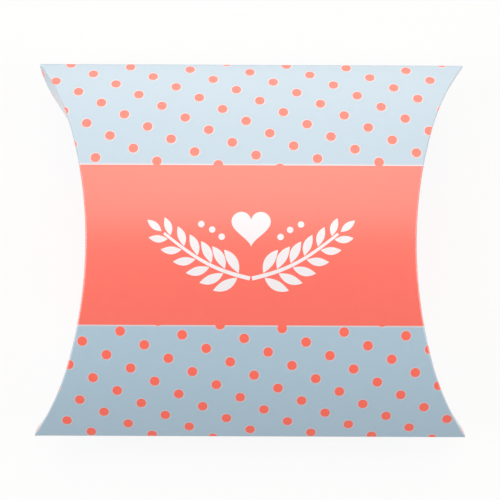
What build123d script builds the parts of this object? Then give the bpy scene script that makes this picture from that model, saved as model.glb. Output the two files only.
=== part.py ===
from build123d import *
from math import acos, atan, atan2, cos, degrees, radians, sin, sqrt, tan
import os

# A pillow box, folded and glued from one die-cut sheet of printed carton board.
# Two bowed panels meet along two straight folds. Each end is closed by two curved
# flaps: an outer one on the front panel and a shorter one inside it on the back.
# All lengths are in millimetres and all angles in degrees. The box lies on its
# back panel: X runs along the folds, Y across the panels, Z up to the front.

# Driving sizes of the closed box
fold_length = 130.0  # along each long fold, corner to corner
fold_chord = 113.4  # from fold to fold, straight across, before the folds are rounded
bulge = 16.5  # from the plane of the two folds to the crown of a panel
board = 0.4  # thickness of the carton board
fold_radius = 0.6  # outside of the rounded long folds

# How a panel bows: a flatter arc over the crown, a tighter one on each shoulder
steeper_share = 1.165  # slope at the folds, as a share of what one single arc has
crown_share = 0.455  # part of that slope which the crown arc turns through

# Scores and clearances
score_gap = 0.3  # left open along each curved score, where a flap hinges
flap_gap = 0.3  # least gap between the outer flap and the inner flap behind it
edge_clearance = 0.4  # outer flap's free edge, inside the surface of the back panel
tuck_clearance = 0.3  # inner flap's free edge, below the plane of the folds

# Cut-outs of the flaps
thumb_radius = 7.0  # half-round notch in the free edge of an outer flap
corner_relief = 2.5  # inner flap stops this far short of each fold

# The glued seam, inside the fold at +Y
glue_width = 12.0  # from the fold to the strip's free edge, round the board
glue_setback = 3.0  # strip's end at the fold, inside the corner of the box
glue_taper = 45.0  # angle of the strip's ends
film = 0.1  # between the back panel and the strip, filled by the glue
film_margin = 2.0  # glue keeps this far inside the edges of the strip
film_skin = 0.01  # glue keeps this far off the bowed faces on both sides of it

# Cutters run this far past what they cut
overrun = 5.0


# The bowed line. It is three tangent arcs that cross the plane of the folds at
# half the fold chord and rise to the bulge. Two equations, one along and one up,
# give the radii of the crown and of the shoulders.
half_chord = fold_chord / 2
half_length = fold_length / 2
fold_slope = 2 * atan(bulge / half_chord) * steeper_share
crown_turn = fold_slope * crown_share
crown_run, crown_drop = sin(crown_turn), 1 - cos(crown_turn)
shoulder_run = sin(fold_slope) - sin(crown_turn)
shoulder_drop = cos(crown_turn) - cos(fold_slope)
both = crown_run * shoulder_drop - shoulder_run * crown_drop
crown_radius = (half_chord * shoulder_drop - bulge * shoulder_run) / both
shoulder_radius = (bulge * crown_run - half_chord * crown_drop) / both

# Centres of the arcs, as places across the panel and above the plane of the folds
crown_centre = bulge - crown_radius
shoulder_across = (crown_radius - shoulder_radius) * sin(crown_turn)
shoulder_centre = crown_centre + (crown_radius - shoulder_radius) * cos(crown_turn)

# The rounded fold touches the shoulder arc from inside and stands square to the
# plane of the folds, so the two panels make one smooth bead there.
round_reach = sqrt((shoulder_radius - fold_radius) ** 2 - shoulder_centre**2)
round_across = shoulder_across + round_reach
round_slope = atan2(round_reach, -shoulder_centre)

# The back panel and its flaps sit inside the outer flaps, which take this much
# at each end, measured along X where the flaps lean most.
inner_setback = (board + flap_gap) / cos(fold_slope)


def side_arc(side, across, height, radius, start, turn):
    """Arc on one side of the middle, from start degrees above the across axis and
    turning up by turn. side is 1, or -1 for the mirrored arc."""
    low = start if side > 0 else 180 - start - turn
    return CenterArc((side * across, height), radius, low, turn)


def bow(offset=0.0):
    """The bowed line moved outwards by offset, down to the plane of the folds on
    both sides, with the place where it ends."""
    crown = crown_radius + offset
    shoulder = shoulder_radius + offset
    end_slope = acos(-shoulder_centre / shoulder)
    turn = degrees(crown_turn)
    line = Curve() + CenterArc((0, crown_centre), crown, 90 - turn, 2 * turn)
    for side in (1, -1):
        line += side_arc(side, shoulder_across, shoulder_centre, shoulder,
                         90 - degrees(end_slope), degrees(end_slope - crown_turn))
    return line, shoulder_across + shoulder * sin(end_slope)


def rounded_bow():
    """The printed surface in section, with the rounded folds, and where it ends."""
    turn = degrees(crown_turn)
    line = Curve() + CenterArc((0, crown_centre), crown_radius, 90 - turn, 2 * turn)
    for side in (1, -1):
        line += side_arc(side, shoulder_across, shoulder_centre, shoulder_radius,
                         90 - degrees(round_slope), degrees(round_slope - crown_turn))
        line += side_arc(side, round_across, 0, fold_radius, 0, 90 - degrees(round_slope))
    return line, round_across + fold_radius


def between(outer, inner):
    """Face between two bowed lines that both end on the plane of the folds."""
    (outer_line, outer_end), (inner_line, inner_end) = outer, inner
    line = outer_line + inner_line
    for side in (1, -1):
        line += Line((side * outer_end, 0), (side * inner_end, 0))
    return make_face(line)


def under(outline):
    """Face between a bowed line and the plane of the folds."""
    line, end = outline
    return make_face(line + Line((-end, 0), (end, 0)))


def lens(above, below):
    """Section of all that lies between two bowed lines, the second one upside down."""
    return under(above) + mirror(under(below), Plane.XZ)


def end_plane(reach):
    """Plan view of the +X end: across is Y, and height is how far inside reach."""
    return Plane(origin=(reach, 0, 0), x_dir=(0, 1, 0), z_dir=(0, 0, 1))


def score_plane(reach):
    """Plane at 45 degrees through the two corners of the +X end. The curved score
    lies in it. Its x axis runs down and outwards along the plane."""
    return Plane(origin=(reach, 0, 0), x_dir=(1, 0, -1), z_dir=(1, 0, 1))


def score_side(reach, direction):
    """Everything on one side of the +X score: direction 1 is the flap's side and
    -1 the panel's side, each counted from half the score gap away. The score is
    the bowed line, drawn out by the root of two because its plane leans."""
    lean = sqrt(2)
    shift = -direction * score_gap / 2
    far = direction * (4 * bulge + overrun)
    wide = half_chord + overrun
    turn, spread = degrees(crown_turn), degrees(fold_slope - crown_turn)
    line = Curve() + EllipticalCenterArc(
        (shift - lean * crown_centre, 0), lean * crown_radius, crown_radius, 180 - turn, arc_size=2 * turn)
    for side in (1, -1):
        start = 180 - turn - spread if side > 0 else 180 + turn
        line += EllipticalCenterArc((shift - lean * shoulder_centre, side * shoulder_across),
                                    lean * shoulder_radius, shoulder_radius, start, arc_size=spread)
        line += Polyline((shift, side * half_chord), (shift, side * wide), (far, side * wide))
    line += Line((far, -wide), (far, wide))
    return extrude(score_plane(reach) * make_face(line), amount=2 * bulge + overrun, both=True)


def along_box(face, reach=half_length):
    """A section of the box, drawn out along X to reach on both sides."""
    return extrude(Plane.YZ * face, amount=reach, both=True)


def upright(face, reach):
    """A plan of the +X end, drawn out up and down past the whole height."""
    return extrude(end_plane(reach) * face, amount=bulge + overrun, both=True)


def panel(reach):
    """Front panel whose corners are at reach: a bowed shell with a rounded half
    fold on each side, cut off along a curved score at each end."""
    shell = along_box(between(rounded_bow(), bow(-board)), reach)
    right = score_side(reach, 1)
    return shell - right - mirror(right, Plane.YZ)


def flap(reach):
    """Wall that closes the +X end below the front panel's score, as high as the
    box. It is bowed in plan as the panel is in section, with the printed side out."""
    wall = upright(between(bow(board), bow()), reach)
    return wall - score_side(reach, -1)


def outer_flap():
    """Flap of the front panel, from the score down to just inside the surface of
    the back panel, with a thumb notch in its free edge."""
    body = lens(rounded_bow(), bow(-edge_clearance))
    notch = Pos(half_length, 0, edge_clearance - bulge) * Rot(0, 90, 0) * Cylinder(
        thumb_radius, 2 * (bulge + overrun))
    return flap(half_length) & along_box(body, half_length + overrun) - notch


def inner_flap():
    """Flap of the back panel, drawn as if on the front: it reaches the middle of
    the box and stops short of the folds so that it can swing in and out."""
    width = 2 * (half_chord - corner_relief)
    height = bulge - tuck_clearance
    window = Pos(0, 0, tuck_clearance + height / 2) * Box(fold_length + overrun, width, height)
    return flap(half_length - inner_setback) & window & along_box(under(rounded_bow()))


def seam_strip(inset, outset, margin):
    """Strip inside the back panel along the fold at +Y, between two depths below
    the printed surface. Its ends taper, and margin draws in its free edges."""
    turn = degrees((glue_width - margin) / (shoulder_radius - outset))
    start = 90 - degrees(fold_slope)
    spare = degrees(overrun / shoulder_radius)
    near, deep = [CenterArc((shoulder_across, shoulder_centre), shoulder_radius - depth,
                            start - spare, turn + spare) for depth in (inset, outset)]
    section = make_face(near + deep + Line(near @ 0, deep @ 0) + Line(near @ 1, deep @ 1))
    long_end = half_length - glue_setback - margin
    short_end = long_end - glue_width / tan(radians(glue_taper))
    free_edge = half_chord - glue_width
    plan = make_face(Polyline((-long_end, half_chord), (long_end, half_chord),
                              (short_end, free_edge), (-short_end, free_edge), close=True))
    return along_box(section) & extrude(plan, amount=bulge + overrun, both=True)


def glue_strips():
    """The glue flap and the film of glue between it and its panel, drawn as if on
    the front. The film keeps to that panel's half, and the flap goes on round the
    fold until it meets the inside of the other panel."""
    own_half = Pos(0, 0, bulge) * Box(fold_length, fold_chord, 2 * bulge)
    glue = seam_strip(board + film_skin, board + film - film_skin, film_margin) & own_half
    strip = seam_strip(board + film, 2 * board + film, 0)
    return strip & along_box(lens(bow(-board), bow(-board))), glue


def upside_down(piece):
    """Turns a piece drawn on the front panel's side over to the back's."""
    return mirror(piece, Plane.XY)


def build():
    """Every piece of the box, with the back panel's crown on z = 0."""
    strip, glue = glue_strips()
    outer, inner = outer_flap(), upside_down(inner_flap())
    pieces = {
        "front_panel": panel(half_length),
        "back_panel": upside_down(panel(half_length - inner_setback)),
        "glue_flap": upside_down(strip),
        "seam_adhesive": upside_down(glue),
        "right_outer_flap": outer,
        "left_outer_flap": mirror(outer, Plane.YZ),
        "right_inner_flap": inner,
        "left_inner_flap": mirror(inner, Plane.YZ),
    }
    return {name: Pos(0, 0, bulge) * piece for name, piece in pieces.items()}


os.makedirs("parts", exist_ok=True)
for name, piece in build().items():
    export_step(piece, f"parts/{name}.step")
    print(name, round(sum(solid.volume for solid in piece.solids()), 1), piece.bounding_box())

print("radii of the crown and shoulders", round(crown_radius, 2), round(shoulder_radius, 2))
print("outer hinge at x", half_length - bulge, "z", 2 * bulge)
print("inner hinge at x", round(half_length - inner_setback - bulge, 3), "z 0")
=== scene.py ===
# %% [markdown]
# # A printed pillow box
# The object is one die-cut sheet of thin carton board, printed, scored and glued into
# a tube that springs open. Two bowed panels meet at two straight folds, and curved
# flaps close both ends. The whole lesson rests on one idea: every visible face is a
# function of two flat coordinates, the ones that the printer's sheet has. The same
# two numbers place the ink, so the print runs over each score as it does in life.

import bpy
import numpy as np
from mathutils import Matrix, Vector


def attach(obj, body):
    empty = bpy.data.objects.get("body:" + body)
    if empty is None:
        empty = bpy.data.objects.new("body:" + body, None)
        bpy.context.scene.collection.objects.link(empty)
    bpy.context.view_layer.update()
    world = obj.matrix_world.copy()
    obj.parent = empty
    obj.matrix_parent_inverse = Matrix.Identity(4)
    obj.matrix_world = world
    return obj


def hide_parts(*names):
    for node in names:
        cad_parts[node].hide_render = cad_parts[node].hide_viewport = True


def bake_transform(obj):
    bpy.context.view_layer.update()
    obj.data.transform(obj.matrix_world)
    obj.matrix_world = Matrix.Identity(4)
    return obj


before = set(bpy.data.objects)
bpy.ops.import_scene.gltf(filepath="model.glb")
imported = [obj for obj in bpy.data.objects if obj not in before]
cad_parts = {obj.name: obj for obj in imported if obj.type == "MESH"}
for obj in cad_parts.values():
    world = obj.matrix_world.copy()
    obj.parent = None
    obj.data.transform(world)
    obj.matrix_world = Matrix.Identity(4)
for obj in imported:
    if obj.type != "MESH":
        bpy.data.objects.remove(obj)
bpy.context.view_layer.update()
MM = 0.001

# %% [markdown]
# ## Driving sizes
# These are the sizes that a carton maker would write on the drawing. The box lies on
# its back panel, so the plane of the two folds is one bulge above the floor.

# %% Sizes of the box, in millimetres
FOLD_LENGTH = 130.0
FOLD_CHORD = 113.4
BULGE = 16.5
BOARD = 0.4
FOLD_RADIUS = 0.6
SCORE_RADIUS = 0.45
CORNER_TRIM = 0.6
STEEPER_SHARE = 1.165
CROWN_SHARE = 0.455
EDGE_CLEARANCE = 0.4
TUCK_CLEARANCE = 0.3
FLAP_GAP = 0.3
THUMB_RADIUS = 7.0
CORNER_RELIEF = 2.5
GLUE_WIDTH = 12.0
GLUE_SETBACK = 3.0
GLUE_FILM = 0.1
GLUE_MARGIN = 2.0
GLUE_SKIN = 0.01
print("box", FOLD_LENGTH, "by", FOLD_CHORD, "by", 2 * BULGE, "mm")

# %% [markdown]
# ## The bowed line
# Sprung board doesn't bow as one circle: it is flatter over the crown and tighter
# towards the folds. Three tangent arcs follow that well, and their radii come from
# two equations, one for the half chord and one for the rise. A fourth small arc
# rounds the fold itself. Everything below asks this one function for its place.

# %% Radii of the bowed line
half_chord, half_length = FOLD_CHORD / 2, FOLD_LENGTH / 2
fold_slope = 2 * np.arctan2(BULGE, half_chord) * STEEPER_SHARE
crown_turn = fold_slope * CROWN_SHARE
arc_runs = np.array([
    [np.sin(crown_turn), np.sin(fold_slope) - np.sin(crown_turn)],
    [1 - np.cos(crown_turn), np.cos(crown_turn) - np.cos(fold_slope)],
])
crown_radius, shoulder_radius = np.linalg.solve(arc_runs, [half_chord, BULGE])
shoulder_centre = BULGE - crown_radius + (crown_radius - shoulder_radius) * np.cos(crown_turn)
round_reach = np.sqrt((shoulder_radius - FOLD_RADIUS) ** 2 - shoulder_centre**2)
round_slope = np.arctan2(round_reach, -shoulder_centre)
crown_run = crown_radius * crown_turn
shoulder_run = crown_run + shoulder_radius * (round_slope - crown_turn)
HALF_GIRTH = shoulder_run + FOLD_RADIUS * (np.pi / 2 - round_slope)
INNER_SETBACK = (BOARD + FLAP_GAP) / np.cos(fold_slope)
print("crown and shoulder radii", crown_radius, shoulder_radius, "half girth", HALF_GIRTH)


def bow(run):
    """Place across the panel, height above the folds and slope, at a signed distance
    run from the crown along the printed face. On each of three arcs in a row the
    slope grows by distance over radius, and each arc adds radius times the change of
    sine across and takes radius times the change of cosine off the height."""
    away = np.abs(run)
    slope = np.where(away < crown_run, away / crown_radius,
                     crown_turn + (away - crown_run) / shoulder_radius)
    slope = np.where(away < shoulder_run, slope, round_slope + (away - shoulder_run) / FOLD_RADIUS)
    turns = [0, crown_turn, round_slope, np.pi]
    across, height = np.zeros_like(away), np.full_like(away, BULGE)
    for radius, first, last in zip((crown_radius, shoulder_radius, FOLD_RADIUS), turns, turns[1:]):
        part = np.clip(slope, first, last)
        across += radius * (np.sin(part) - np.sin(first))
        height -= radius * (np.cos(first) - np.cos(part))
    return np.sign(run) * across, height, np.sign(run) * slope


# %% [markdown]
# ## The curved score
# Each score is the bowed line cut by a plane at 45 degrees through two corners. On
# the panel's side the straight lines of the board run along the box, and past the
# score they run straight down. So at any distance across, the board is a level line,
# a quarter turn of small radius, and an upright line. That is enough to place any
# point of a panel or a flap, and its normal is known in closed form too.

# %% Places and normals on the printed face
SCORE_SHARE = 0.45
LEAST_SCORE_RADIUS = 0.02


def score_at(run, reach):
    """How far from the middle the score lies at run, and the radius of its bead,
    which shrinks to almost nothing where the score meets the fold. The outermost
    tip of the sheet is trimmed, because the die leaves the corner open there."""
    height = np.abs(bow(run)[1])
    radius = np.clip(SCORE_SHARE * height, LEAST_SCORE_RADIUS, SCORE_RADIUS)
    return reach - np.maximum(height, CORNER_TRIM), radius


def on_board(run, turn, along, reach, side):
    """Points, normals and flat coordinates of the printed face. along is the signed
    place on a panel where turn is 0, or the depth below the score where turn is a
    quarter. side is 1 or -1 for the end. The normal is the cross product of the
    tangent across, (sin, cos, -sin) of the slope, and the tangent round the bead.
    Round the fold it changes over to the normal of an end that is cut off square."""
    across, height, slope = bow(run)
    score, bead = score_at(run, reach)
    level = turn == 0
    x = np.where(level, along, side * (score - bead * (1 - np.sin(turn))))
    drop = bead * (1 - np.cos(turn)) + np.where(level, 0, along)
    z = height - np.sign(height) * drop
    flat = np.where(level, along, side * (score - bead + bead * turn + along))
    square = np.clip((np.abs(slope) - round_slope) / (np.pi / 2 - round_slope), 0, 1)
    normal = np.stack([
        side * np.sin(turn) * (np.cos(slope) * (1 - square) + square),
        np.sin(slope) * (np.cos(turn) - np.sin(turn) * (1 - square)),
        np.cos(slope) * np.cos(turn),
    ], axis=-1)
    normal /= np.linalg.norm(normal, axis=-1, keepdims=True)
    return np.stack([x, across, z], axis=-1), normal, np.stack([flat, run], axis=-1)


print("score at the crown, from the middle", score_at(np.zeros(1), half_length)[0])

# %% [markdown]
# ## Turning a face into board
# Board has a printed face, a raw inside face and four cut edges. One helper takes the
# printed face as a grid, offsets it by the thickness along its normals and closes the
# rim. The three kinds of face get the three materials of the same sheet. It also
# keeps the flat coordinates as a UV map, and how near each point is to a score or a
# fold as an attribute, because that is where the ink cracks and rubs.

# %% A closed piece of board from a grid
SHARP_ANGLE = np.radians(35)


def grid_faces(rows, cols):
    """Quads of a grid of rows times cols points, counted row by row."""
    index = np.arange(rows * cols).reshape(rows, cols)
    near, far = index[:-1], index[1:]
    return np.stack([near[:, :-1], far[:, :-1], far[:, 1:], near[:, 1:]], -1).reshape(-1, 4)


def rim_loop(rows, cols):
    """Indices of the points round a grid's edge, in order."""
    index = np.arange(rows * cols).reshape(rows, cols)
    return np.concatenate([index[0, :-1], index[:-1, -1], index[-1, :0:-1], index[:0:-1, 0]])


def closed_sheet(face, normal, flat, thickness, wear=None):
    """Points, quads, kinds of face, flat coordinates and wear of one closed sheet:
    the printed grid, the same grid moved inwards by thickness along its normals, and
    one band of quads round the rim."""
    rows, cols = face.shape[:2]
    count = rows * cols
    outer, loop = grid_faces(rows, cols), rim_loop(rows, cols)
    points = np.concatenate([face.reshape(-1, 3), (face - thickness * normal).reshape(-1, 3)])
    first = points[outer[:, 1]] - points[outer[:, 0]]
    second = points[outer[:, 3]] - points[outer[:, 0]]
    facing = np.sum(np.cross(first, second) * normal.reshape(-1, 3)[outer[:, 0]])
    after = np.roll(loop, -1)
    rim = np.stack([loop, after, after + count, loop + count], -1)
    quads = np.concatenate([outer, outer[:, ::-1] + count, rim])
    kinds = np.repeat([0, 1, 2], [len(outer), len(outer), len(rim)])
    worn = np.zeros(count) if wear is None else wear.ravel()
    return (points, quads if facing > 0 else quads[:, ::-1], kinds,
            np.concatenate([flat.reshape(-1, 2)] * 2), np.concatenate([worn, worn]))


def board_piece(name, sheets, materials):
    """One mesh piece, in metres, of a list of closed sheets. It carries the flat
    coordinates as a UV map and the wear as an attribute. The kinds of face choose
    among its materials, and a single material takes them all."""
    starts = np.cumsum([0] + [len(sheet[0]) for sheet in sheets[:-1]])
    points, kinds, flat, worn = [
        np.concatenate([sheet[k] for sheet in sheets]) for k in (0, 2, 3, 4)]
    quads = np.concatenate([sheet[1] + start for sheet, start in zip(sheets, starts)])
    mesh = bpy.data.meshes.new(name)
    mesh.from_pydata(((points + (0, 0, BULGE)) * MM).tolist(), [], quads.tolist())
    mesh.polygons.foreach_set("material_index", kinds.astype(np.int32) % len(materials))
    corners = np.zeros(len(mesh.loops), np.int32)
    mesh.loops.foreach_get("vertex_index", corners)
    uv_map = mesh.uv_layers.new(name="flat")
    uv_map.data.foreach_set("uv", flat[corners].astype(np.float32).ravel())
    wear_values = mesh.attributes.new("wear", "FLOAT", "POINT")
    wear_values.data.foreach_set("value", worn.astype(np.float32))
    mesh.shade_smooth()
    mesh.set_sharp_from_angle(angle=SHARP_ANGLE)
    piece = bpy.data.objects.new(name, mesh)
    bpy.context.scene.collection.objects.link(piece)
    for material in materials:
        mesh.materials.append(material)
    print(name, "points", len(points), "quads", len(quads))
    return piece


print("3 by 4 points: quads", len(grid_faces(3, 4)), "round the rim", len(rim_loop(3, 4)))

# %% [markdown]
# ## Colours and one helper for nodes
# Print colours are easiest to give as sRGB hex values, which one function turns to
# linear light. One small function adds a node with its settings and links, so each
# material below reads as a list of steps.

# %% Colour and node helpers
def ink(hex_code):
    """Linear RGBA of an sRGB hex value: the low part is divided by 12.92, the rest
    is raised to 2.4 after the usual shift."""
    channels = np.array([int(hex_code[i:i + 2], 16) for i in (0, 2, 4)]) / 255
    linear = np.where(channels <= 0.04045, channels / 12.92, ((channels + 0.055) / 1.055) ** 2.4)
    return (*linear.tolist(), 1.0)


def add_node(tree, kind, inputs=None, **settings):
    """Adds a node of that kind, sets its properties, and sets or links its inputs."""
    made = tree.nodes.new(kind)
    for key, value in settings.items():
        setattr(made, key, value)
    for socket, value in (inputs or {}).items():
        if isinstance(value, bpy.types.NodeSocket):
            tree.links.new(value, made.inputs[socket])
        else:
            made.inputs[socket].default_value = value
    return made


def new_material(name):
    """An empty material, its tree and its output node."""
    material = bpy.data.materials.new(name)
    material.use_nodes = True
    material.node_tree.nodes.clear()
    return material, material.node_tree, add_node(material.node_tree, "ShaderNodeOutputMaterial")


print("middle grey in linear light", ink("808080")[0])

# %% [markdown]
# ## Offset-printed board with a satin coating
# Solid bleached board is printed in two spot colours by offset and sealed with a thin
# water-based coating, which gives a soft satin sheen rather than a mirror. The dots
# sit on a square lattice turned by 30 degrees and run on across the whole sheet. The
# coral band is printed over them, and a fine pale line shows beside it where the blue
# stops short. The small dots hold a fuller film of the coral than the wide band does.
# The pattern reads the flat coordinates, in millimetres, so it lies on the sheet as
# ink does. Real fibres are about 0.02 mm wide, too fine to show, so here and on the
# bare faces their grain is drawn over ten times as coarse. Where the board was
# creased, the ink is rubbed and the white paper shows through in flecks.

# %% Sizes of the print, in millimetres
DOT_PITCH = 8.123
ROW_SHARE = 1.005
DOT_RADIUS = 1.43
DOT_TURN = np.radians(-29.9)
DOT_ANCHOR = (-12.70, 35.05)
HALF_BAND = 23.75
PALE_LINE = 0.38
PALE_RING = 0.35
INK_EDGE = 0.06
FIBRE_GRAIN = 0.35
PRINT_RELIEF = 0.02
MOTTLE_GRAIN = 3.0

pitches = np.array([DOT_PITCH, DOT_PITCH * ROW_SHARE])
cosine, sine = np.cos(DOT_TURN), np.sin(DOT_TURN)
turn_matrix = np.array([[cosine, -sine], [sine, cosine]])
cell_corner = np.array(DOT_ANCHOR) - turn_matrix @ (pitches / 2)
print("dots on one panel, about", round(2 * HALF_GIRTH * FOLD_LENGTH / np.prod(pitches)))

# %% Inks and how strongly they show
BLUE_INKS = ink("A6C1D3"), ink("AAC5D6")
CORAL_INKS = ink("F56250"), ink("F96855")
DOT_CORAL, PALE_EDGE, PAPER_WHITE = ink("FD6047"), ink("E2D6DA"), ink("F0EDF2")
RING_STRENGTH, LINE_STRENGTH, RUB_STRENGTH = 0.75, 0.8, 0.5
RUB_START, RUB_FULL = 0.3, 0.8
SATIN_ROUGHNESS = (0.32, 0.40)


def printed_board():
    """Satin coated board with the dots, the band and its pale edge line."""
    material, tree, output = new_material("offset_printed_satin_board")
    flat = add_node(tree, "ShaderNodeUVMap", uv_map="flat").outputs[0]
    object_space = add_node(tree, "ShaderNodeTexCoord").outputs["Object"]
    cell = add_node(tree, "ShaderNodeMapping", {
        "Vector": flat, "Location": (*cell_corner, 0), "Rotation": (0, 0, DOT_TURN),
        "Scale": (*pitches, 1)}, vector_type="TEXTURE").outputs[0]
    within = add_node(tree, "ShaderNodeVectorMath", {0: cell}, operation="FRACTION").outputs[0]
    spread = add_node(tree, "ShaderNodeVectorMath", {0: within, 1: (0.5, 0.5, 0)},
                      operation="DISTANCE").outputs["Value"]
    dot_edge, soft = DOT_RADIUS / DOT_PITCH, INK_EDGE / DOT_PITCH
    dot = add_node(tree, "ShaderNodeMapRange", {
        "Value": spread, "From Min": dot_edge + soft, "From Max": dot_edge - soft},
        interpolation_type="SMOOTHSTEP").outputs[0]
    ring = add_node(tree, "ShaderNodeMapRange", {
        "Value": spread, "From Min": dot_edge + PALE_RING / DOT_PITCH, "From Max": dot_edge,
        "To Max": RING_STRENGTH}, interpolation_type="SMOOTHSTEP").outputs[0]

    along = add_node(tree, "ShaderNodeSeparateXYZ", {0: flat}).outputs["Y"]
    on_panel = add_node(tree, "ShaderNodeMath", {0: along, 1: HALF_GIRTH, 2: -HALF_GIRTH},
                        operation="WRAP").outputs[0]
    from_middle = add_node(tree, "ShaderNodeMath", {0: on_panel}, operation="ABSOLUTE").outputs[0]
    band = add_node(tree, "ShaderNodeMapRange", {
        "Value": from_middle, "From Min": HALF_BAND + INK_EDGE, "From Max": HALF_BAND - INK_EDGE},
        interpolation_type="SMOOTHSTEP").outputs[0]
    line = add_node(tree, "ShaderNodeMapRange", {
        "Value": from_middle, "From Min": HALF_BAND + PALE_LINE + INK_EDGE,
        "From Max": HALF_BAND + PALE_LINE - INK_EDGE, "To Max": LINE_STRENGTH},
        interpolation_type="SMOOTHSTEP").outputs[0]

    mottle = add_node(tree, "ShaderNodeTexNoise", {
        "Vector": object_space, "Scale": 1 / (MOTTLE_GRAIN * MM), "Detail": 4.0}).outputs["Fac"]
    blue, coral = [
        add_node(tree, "ShaderNodeMix", {"Factor": mottle, "A": dark, "B": light},
                 data_type="RGBA").outputs["Result"] for dark, light in (BLUE_INKS, CORAL_INKS)]
    paler = add_node(tree, "ShaderNodeMix", {"Factor": ring, "A": blue, "B": PALE_EDGE},
                     data_type="RGBA").outputs["Result"]
    lined = add_node(tree, "ShaderNodeMix", {"Factor": line, "A": paler, "B": PALE_EDGE},
                     data_type="RGBA").outputs["Result"]
    dotted = add_node(tree, "ShaderNodeMix", {"Factor": dot, "A": lined, "B": DOT_CORAL},
                      data_type="RGBA").outputs["Result"]
    banded = add_node(tree, "ShaderNodeMix", {"Factor": band, "A": dotted, "B": coral},
                      data_type="RGBA").outputs["Result"]

    rubbed = add_node(tree, "ShaderNodeAttribute", attribute_name="wear").outputs["Fac"]
    flecks = add_node(tree, "ShaderNodeTexNoise", {
        "Vector": object_space, "Scale": 1 / (FIBRE_GRAIN * MM), "Detail": 6.0}).outputs["Fac"]
    patchy = add_node(tree, "ShaderNodeMath", {0: rubbed, 1: flecks},
                      operation="MULTIPLY").outputs[0]
    worn = add_node(tree, "ShaderNodeMapRange", {
        "Value": patchy, "From Min": RUB_START, "From Max": RUB_FULL,
        "To Max": RUB_STRENGTH}).outputs[0]
    colour = add_node(tree, "ShaderNodeMix", {"Factor": worn, "A": banded, "B": PAPER_WHITE},
                      data_type="RGBA").outputs["Result"]
    roughness = add_node(tree, "ShaderNodeMapRange", {
        "Value": mottle, "To Min": SATIN_ROUGHNESS[0], "To Max": SATIN_ROUGHNESS[1]}).outputs[0]
    bump = add_node(tree, "ShaderNodeBump", {
        "Height": flecks, "Strength": 0.12, "Distance": PRINT_RELIEF * MM}).outputs[0]
    board = add_node(tree, "ShaderNodeBsdfPrincipled", {
        "Base Color": colour, "Roughness": roughness, "IOR": 1.5, "Normal": bump,
        "Coat Weight": 1.0, "Coat Roughness": 0.28, "Coat IOR": 1.55})
    tree.links.new(board.outputs[0], output.inputs["Surface"])
    return material


printed = printed_board()
print(printed.name, "nodes", len(printed.node_tree.nodes))

# %% [markdown]
# ## The bare faces of the same board
# The inside is uncoated: matt, faintly warm, with visible fibres. The cut edge shows
# the layers of pulp, a little greyer than either face. The ornament is not ink: it is
# the white coated board left bare inside the coral, so it shares the coating's sheen.
# Dried dispersion glue is yellowish and a little glossy. All four are one recipe, a
# noise with a grain in millimetres that moves colour, roughness and relief together.

# %% Raw, cut and unprinted board, and dried glue
FIBRE_RELIEF = 0.03
ROUGHNESS_SPREAD = 0.05


def fibre_board(name, dark, light, grain, roughness, coat):
    """Board or dried glue whose colour, roughness and relief vary with a noise of that
    grain, in millimetres."""
    material, tree, output = new_material(name)
    object_space = add_node(tree, "ShaderNodeTexCoord").outputs["Object"]
    fibres = add_node(tree, "ShaderNodeTexNoise", {
        "Vector": object_space, "Scale": 1 / (grain * MM), "Detail": 6.0,
        "Roughness": 0.65}).outputs["Fac"]
    colour = add_node(tree, "ShaderNodeMix", {"Factor": fibres, "A": ink(dark), "B": ink(light)},
                      data_type="RGBA").outputs["Result"]
    rough = add_node(tree, "ShaderNodeMapRange", {
        "Value": fibres, "To Min": roughness - ROUGHNESS_SPREAD,
        "To Max": roughness + ROUGHNESS_SPREAD}).outputs[0]
    bump = add_node(tree, "ShaderNodeBump", {
        "Height": fibres, "Strength": 0.25, "Distance": FIBRE_RELIEF * MM}).outputs[0]
    board = add_node(tree, "ShaderNodeBsdfPrincipled", {
        "Base Color": colour, "Roughness": rough, "IOR": 1.5, "Normal": bump,
        "Coat Weight": coat, "Coat Roughness": 0.3, "Coat IOR": 1.5})
    tree.links.new(board.outputs[0], output.inputs["Surface"])
    return material


raw = fibre_board("uncoated_inside_board", "E9E6E0", "F6F4F0", grain=0.5, roughness=0.8, coat=0.0)
cut = fibre_board("die_cut_board_edge", "D9D6D0", "EFEDE9", grain=0.25, roughness=0.85, coat=0.0)
bare = fibre_board("unprinted_coated_board", "EEEBF0", "F2EFF4", grain=1.0, roughness=0.36,
                   coat=1.0)
glue = fibre_board("dried_dispersion_glue", "DDD6BE", "EAE5D2", grain=1.5, roughness=0.35,
                   coat=0.3)
sheet_faces = [printed, raw, cut]
print("materials", [material.name for material in bpy.data.materials])

# %% [markdown]
# ## Panels
# A panel is the grid of runs across and places along, with the bead of each score at
# its two ends. The front panel carries both rounded folds, and the back panel starts
# where they end: at one fold it is the same sheet, and at the other its cut edge
# stops a hair short, which is the glued seam.

# %% Front and back panels
RUN_STEP = 1.1
RUN_DIGITS, RUN_TOLERANCE = 5, 1e-4
NOTCH_STEPS = 25
FOLD_STEPS = 12
BEAD_STEPS = 7
PLACES_ALONG = 33
HALVINGS = 40
SEAM_GAP = 0.12
WEAR_REACH = 0.2
LEAST_FLAP_HEIGHT = 0.75


def runs_between(low, high):
    """Runs to sample: even steps, close steps round the thumb notch, and the joins
    of the arcs, so that neighbouring pieces share their edge points."""
    even = np.linspace(-shoulder_run, shoulder_run, int(2 * shoulder_run / RUN_STEP))
    notch = THUMB_RADIUS * np.sin(np.linspace(-np.pi / 2, np.pi / 2, NOTCH_STEPS))
    joins = np.array([-crown_run, crown_run, -flap_end, flap_end, low, high])
    every = np.unique(np.round(np.concatenate([even, notch, joins]), RUN_DIGITS))
    return every[(every >= low - RUN_TOLERANCE) & (every <= high + RUN_TOLERANCE)]


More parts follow.
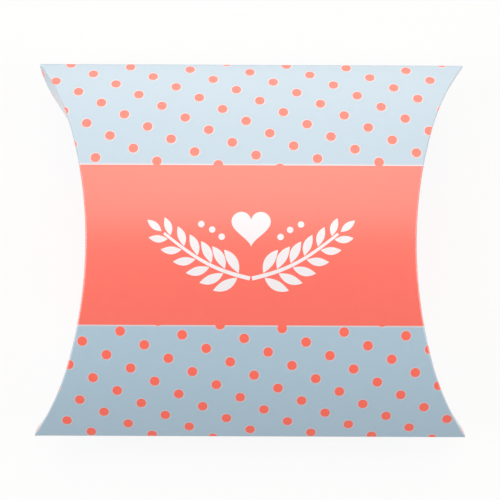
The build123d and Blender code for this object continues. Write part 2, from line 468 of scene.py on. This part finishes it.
def run_at_height(height):
    """Run where the panel is that high above the folds, by halving the interval."""
    low, high = 0.0, shoulder_run
    for _ in range(HALVINGS):
        middle = (low + high) / 2
        low, high = (middle, high) if bow(np.array([middle]))[1][0] > height else (low, middle)
    return low


flap_end = run_at_height(LEAST_FLAP_HEIGHT)


def panel_face(runs, reach):
    """Printed face of a panel with the bead of both scores: three stretches side by
    side, the left bead, the level board and the right bead."""
    bead = np.linspace(0, np.pi / 2, BEAD_STEPS)[1:]
    score, radius = score_at(runs, reach)
    share = np.sin(np.linspace(-np.pi / 2, np.pi / 2, PLACES_ALONG))
    across, half_level = runs[:, None], (score - radius)[:, None]
    level = on_board(across + 0 * share, 0 * share, share * half_level, reach, 1)
    ends = [on_board(across + 0 * bead, bead + 0 * across, 0, reach, side) for side in (-1, 1)]
    left = [part[:, ::-1] for part in ends[0]]
    face, normal, flat = [np.concatenate(parts, axis=1) for parts in zip(left, level, ends[1])]
    outwards = np.abs(flat[..., 0]) - half_level
    wear = np.exp(-np.maximum(-outwards, 0) / WEAR_REACH)
    return face, normal, flat, wear


def turned_over(face, normal, flat):
    """The same grid on the back: upside down, with flat coordinates that go on past
    the fold at -Y, where front and back are one sheet."""
    flip = np.array([1, 1, -1])
    return face * flip, normal * flip, np.stack([flat[..., 0], -2 * HALF_GIRTH - flat[..., 1]], -1)


fold_runs = shoulder_run + np.linspace(0, 2 * (HALF_GIRTH - shoulder_run), FOLD_STEPS + 1)[1:]
front_runs = np.concatenate([
    -fold_runs[::-1], runs_between(-shoulder_run, shoulder_run), fold_runs])
face, normal, flat, wear = panel_face(front_runs, half_length)
fold_wear = np.exp(-np.abs(np.abs(front_runs) - HALF_GIRTH) / WEAR_REACH)[:, None]
front_sheet = board_piece("front_sheet", [
    closed_sheet(face, normal, flat, BOARD, np.maximum(wear, fold_wear))], sheet_faces)
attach(front_sheet, "shell")
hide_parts("front_panel")

back_runs = runs_between(-shoulder_run, shoulder_run - SEAM_GAP)
face, normal, flat, wear = panel_face(back_runs, half_length - INNER_SETBACK)
back_sheet = board_piece("back_sheet", [
    closed_sheet(*turned_over(face, normal, flat), BOARD, wear)], sheet_faces)
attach(back_sheet, "shell")
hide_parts("back_panel")

# %% [markdown]
# ## End flaps
# Past the score the board runs straight down to its free edge, so a flap is the grid
# of runs and depths. The free edge of an outer flap stops just inside the back
# panel's face and has a half-round notch for the thumb. Thin board never tucks in
# quite flat: near the corners the flap springs outwards a few degrees, which is what
# shows beside the panel from the front. Board has plies, and each flap is made of two
# of them, the printed one and the lining, laid one behind the other.

# %% Outer and inner flaps
DEPTH_STEPS = 25
LEAN_POWER = 1.25
OUTER_LEANS = {"left": ((37.0, 0.42), (49.0, 0.4)), "right": ((44.0, 0.06), (45.0, 0.36))}


def lean_out(runs, leans):
    """Outward slope of a flap. leans holds where it starts and its size at the
    corner, for +Y and -Y, and between them it grows with a power of the distance."""
    sizes = [size * (np.clip(end * runs - start, 0, None) / (HALF_GIRTH - start)) ** LEAN_POWER
             for (start, size), end in zip(leans, (1, -1))]
    return np.sum([0 * runs, *sizes], axis=0)


def flap_face(runs, reach, side, free_height, leans):
    """Printed face of a flap, from the end of its bead down to free_height, a height
    above the plane of the folds. It leans outwards in step with the depth."""
    height = bow(runs)[1]
    bead = score_at(runs, reach)[1]
    deep = np.linspace(0, 1, DEPTH_STEPS) * (height - bead - free_height)[:, None]
    upright = np.pi / 2 + 0 * deep
    face, normal, flat = on_board(runs[:, None] + 0 * deep, upright, deep, reach, side)
    slope = lean_out(runs, leans)[:, None]
    face[..., 0] += side * slope * deep
    normal[..., 2] += slope
    return face, normal / np.linalg.norm(normal, axis=-1, keepdims=True), flat


def two_plies(name, grid):
    """Makes the printed ply and the lining of one flap, each half a board thick."""
    face, normal, flat = grid
    lining_inset = BOARD * np.cos(fold_slope) / np.sqrt(2)
    for ply, deep, inset, faces, slot in (
            ("wing", 0, 0, [printed, printed, cut], "printed_board"),
            ("lining", BOARD / 2, lining_inset, [raw, raw, cut], "raw_board")):
        sheet = closed_sheet(face - deep * normal, normal, flat, BOARD / 2)
        piece = board_piece(f"{name}_{ply}", [sheet], faces)
        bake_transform(piece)
        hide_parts(f"{name}_flap")


flap_runs = runs_between(-flap_end, flap_end)
across, height, slope = bow(flap_runs)
notch = np.sqrt(np.maximum(THUMB_RADIUS**2 - across**2, 0)) - BULGE
lowest = np.where(np.abs(across) < THUMB_RADIUS, notch, -BULGE)
free_edge = np.maximum(EDGE_CLEARANCE - height, lowest + EDGE_CLEARANCE)
relief = half_chord - CORNER_RELIEF
inner_runs = flap_runs[np.abs(across) < relief]
inner_reach = half_length - INNER_SETBACK
for name, side in (("left", -1), ("right", 1)):
    outer_grid = flap_face(flap_runs, half_length, side, free_edge, OUTER_LEANS[name])
    two_plies(f"{name}_outer", outer_grid)
    inner_grid = flap_face(inner_runs, inner_reach, side, TUCK_CLEARANCE + 0 * inner_runs, [])
    two_plies(f"{name}_inner", turned_over(*inner_grid))

# %% [markdown]
# ## The glued seam
# A strip of the same sheet is folded in along one long fold and glued to the inside
# of the back panel. Its ends taper, so that it can't show at the corners. It shows
# only when a flap is open. The strip follows the back panel at one board's depth and
# a film of glue further in.

# %% Glue strip and glue
SEAM_RUN = 1.2
STRIP_STEPS = 15


def strip_face(depth, margin):
    """Face of a strip that lies depth below the printed face of the back panel: runs
    from near the fold to its free edge, and places along that draw in as it tapers."""
    runs = shoulder_run - np.linspace(SEAM_RUN + margin, GLUE_WIDTH - margin, STRIP_STEPS)
    ends = half_length - GLUE_SETBACK - margin - (shoulder_run - runs)
    along = np.linspace(-1, 1, PLACES_ALONG) * ends[:, None]
    face, normal, flat = on_board(runs[:, None] + 0 * along, 0 * along, along, half_length, 1)
    face, normal, flat = turned_over(face, normal, flat)
    return face - depth * normal, normal, flat


strip = board_piece("glue_strip", [
    closed_sheet(*strip_face(BOARD + GLUE_FILM, 0), BOARD)], [raw, raw, cut])
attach(strip, "shell")
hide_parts("glue_flap")
film = board_piece("glue_film", [
    closed_sheet(*strip_face(BOARD + GLUE_SKIN, GLUE_MARGIN), GLUE_FILM - 2 * GLUE_SKIN)], [glue])
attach(film, "shell")
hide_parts("seam_adhesive")

# %% [markdown]
# ## The white ornament
# The middle of the band holds a plain ornament: a heart over two leafy sprigs, left
# white in the coral. It is drawn in flat coordinates: each leaf is a ribbon whose
# width follows a sine, each stem is a thin ribbon along a rising wave, and the heart
# is the usual curve. Leaves stand in pairs, evenly spaced along their stem. All of it
# is a thin skin laid on the bowed panel by the same function as the board, so it
# follows the bow exactly.

# %% Ornament on the front panel, in millimetres and degrees
INK_RISE = 0.012
INK_SINK = 0.05
SPRIG_START, SPRIG_END = np.array([0.3, -10.0]), np.array([25.5, 3.2])
SPRIG_SAG = 2.2
SPRIG_PAIRS = 6
GAPS_BEFORE_LEAVES, GAPS_AFTER_LEAVES = 0.75, 0.5
TANGENT_STEP = 0.01
LEAF_LENGTHS = (8.2, 5.2)
LEAF_HALF_WIDTHS = (1.5, 1.05)
LEAF_TILTS = (56, 42)
LEAF_CURL = 0.4
LEAF_POWER = 0.8
LEAF_TIP_SHARE = 0.015
LEAF_GAP = 1.0
STEM_HALF_WIDTHS = (0.6, 0.4)
HEART_WIDTH = 11.5
HEART_CENTRE = np.array([0.0, 4.6])
HEART_TURNS = (0.12, 0.99 * np.pi)
CURVE_WIDTH, CURVE_LIFT = 32, 2
BERRY_RADIUS = 0.95
BERRIES = ((8.6, 2.2), (11.4, 4.3), (14.6, 5.9))
STEM_ROWS, LEAF_ROWS, RIBBON_COLUMNS = 61, 21, 5
HEART_ROWS, HEART_COLUMNS, BERRY_ROWS = 40, 17, 11


def laid_on_front(shape):
    """A grid of flat coordinates, laid on the front panel as a thin closed skin."""
    face, normal, flat = on_board(shape[..., 1], 0 * shape[..., 0], shape[..., 0], half_length, 1)
    return closed_sheet(face + INK_RISE * normal, normal, flat, INK_RISE + INK_SINK)


def sprig_stem(t, side):
    """Middle line of a sprig: a straight run from its start to its end, less a sag
    that follows half a sine. side mirrors it."""
    line = SPRIG_START + np.outer(t, SPRIG_END - SPRIG_START)
    line[:, 1] -= SPRIG_SAG * np.sin(np.pi * t)
    return line * (side, 1)


def heading_of(step):
    """Angle of a short step along a line, from the long axis of the box."""
    return np.arctan2(step[1], step[0])


def ribbon(line, half_width):
    """Grid along a line, as wide as half_width says on both sides of it."""
    tangent = np.gradient(line, axis=0)
    tangent /= np.linalg.norm(tangent, axis=1, keepdims=True)
    sideways = np.stack([-tangent[:, 1], tangent[:, 0]], -1)
    share = np.linspace(-1, 1, RIBBON_COLUMNS)[None, :, None]
    return line[:, None] + share * half_width[:, None, None] * sideways[:, None]


def leaf(base, heading, tilt, length, half_width):
    """A leaf: a ribbon along an arc that starts a small gap off the stem, tilt away
    from its heading, and curls back. Its half width follows a sine to a power."""
    t = np.linspace(0, 1, LEAF_ROWS)
    angle = heading + tilt * (1 - LEAF_CURL * t)
    way = np.stack([np.cos(angle), np.sin(angle)], -1)
    line = base + LEAF_GAP * way[0] + (np.cumsum(way, axis=0) - way[0]) * length / (len(t) - 1)
    place = np.clip(t, LEAF_TIP_SHARE, 1 - LEAF_TIP_SHARE)
    return ribbon(line, half_width * np.sin(np.pi * place) ** LEAF_POWER)


def heart():
    """A heart as one grid, from its left outline through the middle line to its right
    one. The outline is 16 times the cube of a sine across, and 13, -5, -2 and -1 times
    the cosines of one to four turns up. The middle line falls evenly from the cleft to
    the point, and between the two the height changes with the distance across. That
    curve is 32 wide, and lifting it by 2 centres it."""
    turn = np.linspace(*HEART_TURNS, HEART_ROWS)[:, None]
    up = 13 * np.cos(turn) - 5 * np.cos(2 * turn) - 2 * np.cos(3 * turn) - np.cos(4 * turn)
    middle = np.linspace(up[0], up[-1], len(turn))
    share = np.linspace(-1, 1, HEART_COLUMNS)
    across = 16 * np.sin(turn) ** 3 * share
    height = middle + (up - middle) * np.abs(share) + CURVE_LIFT
    return HEART_CENTRE + np.stack([across, height], -1) * HEART_WIDTH / CURVE_WIDTH


def berry(centre):
    """A disc as a grid without a pole: each side of a square is bulged to a circle
    by the root of one less half the square of the other coordinate."""
    share = np.linspace(-1, 1, BERRY_ROWS)
    u, v = np.meshgrid(share, share, indexing="ij")
    disc = np.stack([u * np.sqrt(1 - v**2 / 2), v * np.sqrt(1 - u**2 / 2)], -1)
    return np.array(centre) + BERRY_RADIUS * disc


shapes = [heart()]
stem_places = np.linspace(0, 1, STEM_ROWS)
stem_widths = np.interp(stem_places, (0, 1), STEM_HALF_WIDTHS)
leaf_gaps = GAPS_BEFORE_LEAVES + SPRIG_PAIRS - 1 + GAPS_AFTER_LEAVES
for side in (-1, 1):
    shapes.append(ribbon(sprig_stem(stem_places, side), stem_widths))
    shapes.extend(berry((side * out, up)) for out, up in BERRIES)
    for place in (np.arange(SPRIG_PAIRS) + GAPS_BEFORE_LEAVES) / leaf_gaps:
        base = sprig_stem(np.array([place - TANGENT_STEP, place + TANGENT_STEP]), side)
        heading = heading_of(base[1] - base[0])
        length, half_width, tilt = [np.interp(place, (0, 1), ends) for ends in
                                    (LEAF_LENGTHS, LEAF_HALF_WIDTHS, LEAF_TILTS)]
        for turn in (-np.radians(tilt), np.radians(tilt)):
            shapes.append(leaf(base.mean(0), heading, turn, length, half_width))
    tip = sprig_stem(np.array([1 - TANGENT_STEP, 1.0]), side)
    shapes.append(leaf(tip[1], heading_of(tip[1] - tip[0]), 0,
                       LEAF_LENGTHS[1], LEAF_HALF_WIDTHS[1]))
ornament = board_piece("white_ornament", [laid_on_front(shape) for shape in shapes], [bare])
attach(ornament, "shell")

# %% [markdown]
# ## Table and tent
# The box lies on a plain white table in a light tent. The table is matt paper, which
# gives no reflection, only the box's shadow, so its shader is plain diffuse. Paper
# grain is too fine to show, and it is drawn at about a millimetre. The tent is white
# where it shows, straight or mirrored, and it lights the box only dimly, so the lamps
# shape the light. A Light Path node tells a ray that shows the tent from one that
# only lights the box.

# %% Floor and world
TENT_LIGHT = 0.2
GLOW_SHARE = 0.88
HALF_FLOOR = 2.0
TABLE_GRAIN = 1.11
TABLE_WHITES = ink("F4F4F4"), ink("F8F8F8")


def showing_rays(tree):
    """1 for a ray that shows its end to the camera, straight, mirrored or through
    glass, and 0 for one that only brings light: the largest of three flags."""
    path = add_node(tree, "ShaderNodeLightPath").outputs
    straight_or_mirrored = add_node(tree, "ShaderNodeMath", {
        0: path["Is Camera Ray"], 1: path["Is Glossy Ray"]}, operation="MAXIMUM").outputs[0]
    return add_node(tree, "ShaderNodeMath", {
        0: straight_or_mirrored, 1: path["Is Transmission Ray"]}, operation="MAXIMUM").outputs[0]


def white_table():
    """White paper floor. What shows of it is mostly lit by itself, which keeps the
    background white and the shadow faint."""
    material, tree, output = new_material("white_table_paper")
    object_space = add_node(tree, "ShaderNodeTexCoord").outputs["Object"]
    grain = add_node(tree, "ShaderNodeTexNoise", {
        "Vector": object_space, "Scale": 1 / (TABLE_GRAIN * MM)}).outputs["Fac"]
    tone = add_node(tree, "ShaderNodeMix", {
        "Factor": grain, "A": TABLE_WHITES[0], "B": TABLE_WHITES[1]},
        data_type="RGBA").outputs["Result"]
    paper = add_node(tree, "ShaderNodeBsdfDiffuse", {"Color": tone}).outputs[0]
    glow = add_node(tree, "ShaderNodeEmission", {
        "Color": (1, 1, 1, 1), "Strength": 1.0}).outputs[0]
    share = add_node(tree, "ShaderNodeMath", {0: showing_rays(tree), 1: GLOW_SHARE},
                     operation="MULTIPLY").outputs[0]
    mixed = add_node(tree, "ShaderNodeMixShader", {"Fac": share, 1: paper, 2: glow}).outputs[0]
    tree.links.new(mixed, output.inputs["Surface"])
    return material


floor_mesh = bpy.data.meshes.new("table")
corners = np.array([[-1, -1, 0], [1, -1, 0], [1, 1, 0], [-1, 1, 0]]) * HALF_FLOOR
floor_mesh.from_pydata(corners.tolist(), [], [(0, 1, 2, 3)])
table = bpy.data.objects.new("table", floor_mesh)
bpy.context.scene.collection.objects.link(table)
floor_mesh.materials.append(white_table())

world = bpy.context.scene.world or bpy.data.worlds.new("world")
bpy.context.scene.world = world
world.use_nodes = True
tent = world.node_tree
tent.nodes.clear()
strength = add_node(tent, "ShaderNodeMapRange", {
    "Value": showing_rays(tent), "To Min": TENT_LIGHT, "To Max": 1.0}).outputs[0]
cloth = add_node(tent, "ShaderNodeBackground", {
    "Color": (1, 1, 1, 1), "Strength": strength}).outputs[0]
add_node(tent, "ShaderNodeOutputWorld", {"Surface": cloth})
print("table", 2 * HALF_FLOOR, "m square, tent light", TENT_LIGHT)

# %% [markdown]
# ## Softboxes and camera
# One tall softbox stands beyond the fold at +Y and reaches almost overhead, so the
# coating shows a soft haze from that fold to the middle of the panel. Its cloth is
# faintly warm. Two fills stand off the two ends, far enough out that the camera
# doesn't see them mirrored, and the left one is the brighter. The camera hangs half a
# metre above the box, a little towards -Y, and tilts slightly to look back at it.

# %% Softboxes, in metres
KEY_PLACE, KEY_SIZE, KEY_RADIANCE = (0.0, 0.674, 0.582), (0.6, 1.46), 2.4
FILL_AWAY, FILL_ALONG, FILL_UP = 0.66, -0.05, 0.6
FILL_SIZE, LEFT_RADIANCE, RIGHT_RADIANCE = (0.5, 0.5), 4.4, 3.3
WARM_CLOTH, WHITE_CLOTH = (1.0, 0.87, 0.78), (1, 1, 1)
box_middle = (0, 0, BULGE * MM)


def look_from(place, target):
    """Matrix that stands at place and looks at target, with +Y kept upwards."""
    back = (Vector(place) - Vector(target)).normalized()
    right = Vector((0, 1, 0)).cross(back).normalized()
    turn = Matrix((right, back.cross(right), back)).transposed()
    return Matrix.Translation(place) @ turn.to_4x4()


def softbox(name, place, size, radiance, colour):
    """A rectangular lamp that faces the box. Its power is pi times radiance times
    area."""
    data = bpy.data.lights.new(name, "AREA")
    data.shape = "RECTANGLE"
    data.size, data.size_y = size
    data.energy = np.pi * radiance * size[0] * size[1]
    data.color = colour
    lamp = bpy.data.objects.new(name, data)
    lamp.matrix_world = look_from(place, box_middle)
    bpy.context.scene.collection.objects.link(lamp)
    print(name, "power", round(data.energy, 2), "W")


softbox("key_softbox", KEY_PLACE, KEY_SIZE, KEY_RADIANCE, WARM_CLOTH)
for name, side, radiance in (("left", -1, LEFT_RADIANCE), ("right", 1, RIGHT_RADIANCE)):
    place = (side * FILL_AWAY, FILL_ALONG, FILL_UP)
    softbox(f"{name}_fill", place, FILL_SIZE, radiance, WHITE_CLOTH)

# %% Camera, in millimetres and radians
CAMERA_PLACE = (-2.03, -41.64, 504.28 + BULGE)
CAMERA_TILTS = (-0.08177, 0.00352, -0.00386)
CAMERA_LENS, SENSOR_WIDTH = 120.56, 36
NEAREST_SEEN = 10.0

tilt_x, tilt_y, tilt_z = [
    Matrix.Rotation(angle, 4, axis) for angle, axis in zip(CAMERA_TILTS, "XYZ")]
camera_data = bpy.data.cameras.new("camera")
camera_data.lens, camera_data.sensor_width = CAMERA_LENS, SENSOR_WIDTH
camera_data.clip_start = NEAREST_SEEN * MM
camera = bpy.data.objects.new("camera", camera_data)
camera.matrix_world = (Matrix.Translation(Vector(CAMERA_PLACE) * MM)
                       @ (tilt_z @ tilt_x @ tilt_y).transposed())
bpy.context.scene.collection.objects.link(camera)
bpy.context.scene.camera = camera
bpy.context.scene.view_settings.view_transform = "Standard"
print("camera at", [round(value, 4) for value in camera.matrix_world.translation], "m")
